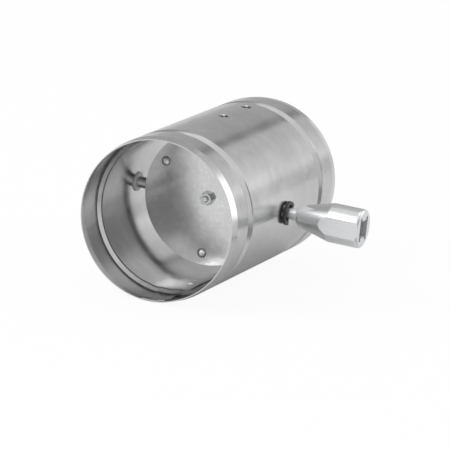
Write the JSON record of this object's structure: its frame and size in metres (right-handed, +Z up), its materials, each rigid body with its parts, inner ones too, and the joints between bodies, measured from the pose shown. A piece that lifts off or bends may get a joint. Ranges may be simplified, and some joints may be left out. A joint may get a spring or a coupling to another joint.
{
  "type": "butterfly damper",
  "caption": "Round duct damper: a flat blade on a cross spindle turns inside a beaded sheet-metal tube, set by a tapered hand grip outside.",
  "frame": {"origin": "where the axis of the duct crosses the axis of the spindle, halfway between the two rims", "axes": "+X along the spindle towards the handle, +Y along the duct from the rim with the open view of the nut to the far rim, +Z up, away from the lap seam"},
  "size_m": [0.1538, 0.164, 0.1],
  "materials": {
    "galvanised_sheet": "hot-dip galvanised sheet, satin with a faint spangle",
    "zinc_plated_steel": "bright zinc plate",
    "bright_steel_bar": "bright drawn bar, zinc plated",
    "spring_steel": "plated spring steel",
    "rivet_aluminium": "bright rivet",
    "polished_aluminium": "die-cast aluminium, turned and polished",
    "natural_polyamide": "moulded natural polyamide, faintly waxy",
    "black_plastic": "moulded black plastic"
  },
  "bodies": {
    "duct": {"duct_body": "galvanised_sheet", "handle_bush": "natural_polyamide", "pivot_bush": "natural_polyamide", "handle_friction_washer": "spring_steel", "pivot_friction_washer": "spring_steel"},
    "blade": {"front_disc": "galvanised_sheet", "rear_disc": "galvanised_sheet", "handle_clip": "black_plastic", "pivot_clip": "black_plastic", "spindle": "bright_steel_bar", "spacer_lower": "zinc_plated_steel", "spacer_left": "zinc_plated_steel", "spacer_right": "zinc_plated_steel", "rivet_lower": "rivet_aluminium", "rivet_left": "rivet_aluminium", "rivet_right": "rivet_aluminium", "blade_bolt": "zinc_plated_steel", "head_washer": "zinc_plated_steel", "nut_washer": "zinc_plated_steel", "blade_nut": "zinc_plated_steel", "handle": "polished_aluminium", "screw_washer": "zinc_plated_steel", "handle_screw": "zinc_plated_steel"}
  },
  "joints": [
    {"name": "blade_turn", "type": "hinge", "parent": "duct", "child": "blade", "pos_m": [0, 0, 0], "axis": [1, 0, 0], "continuous": true}
  ]
}
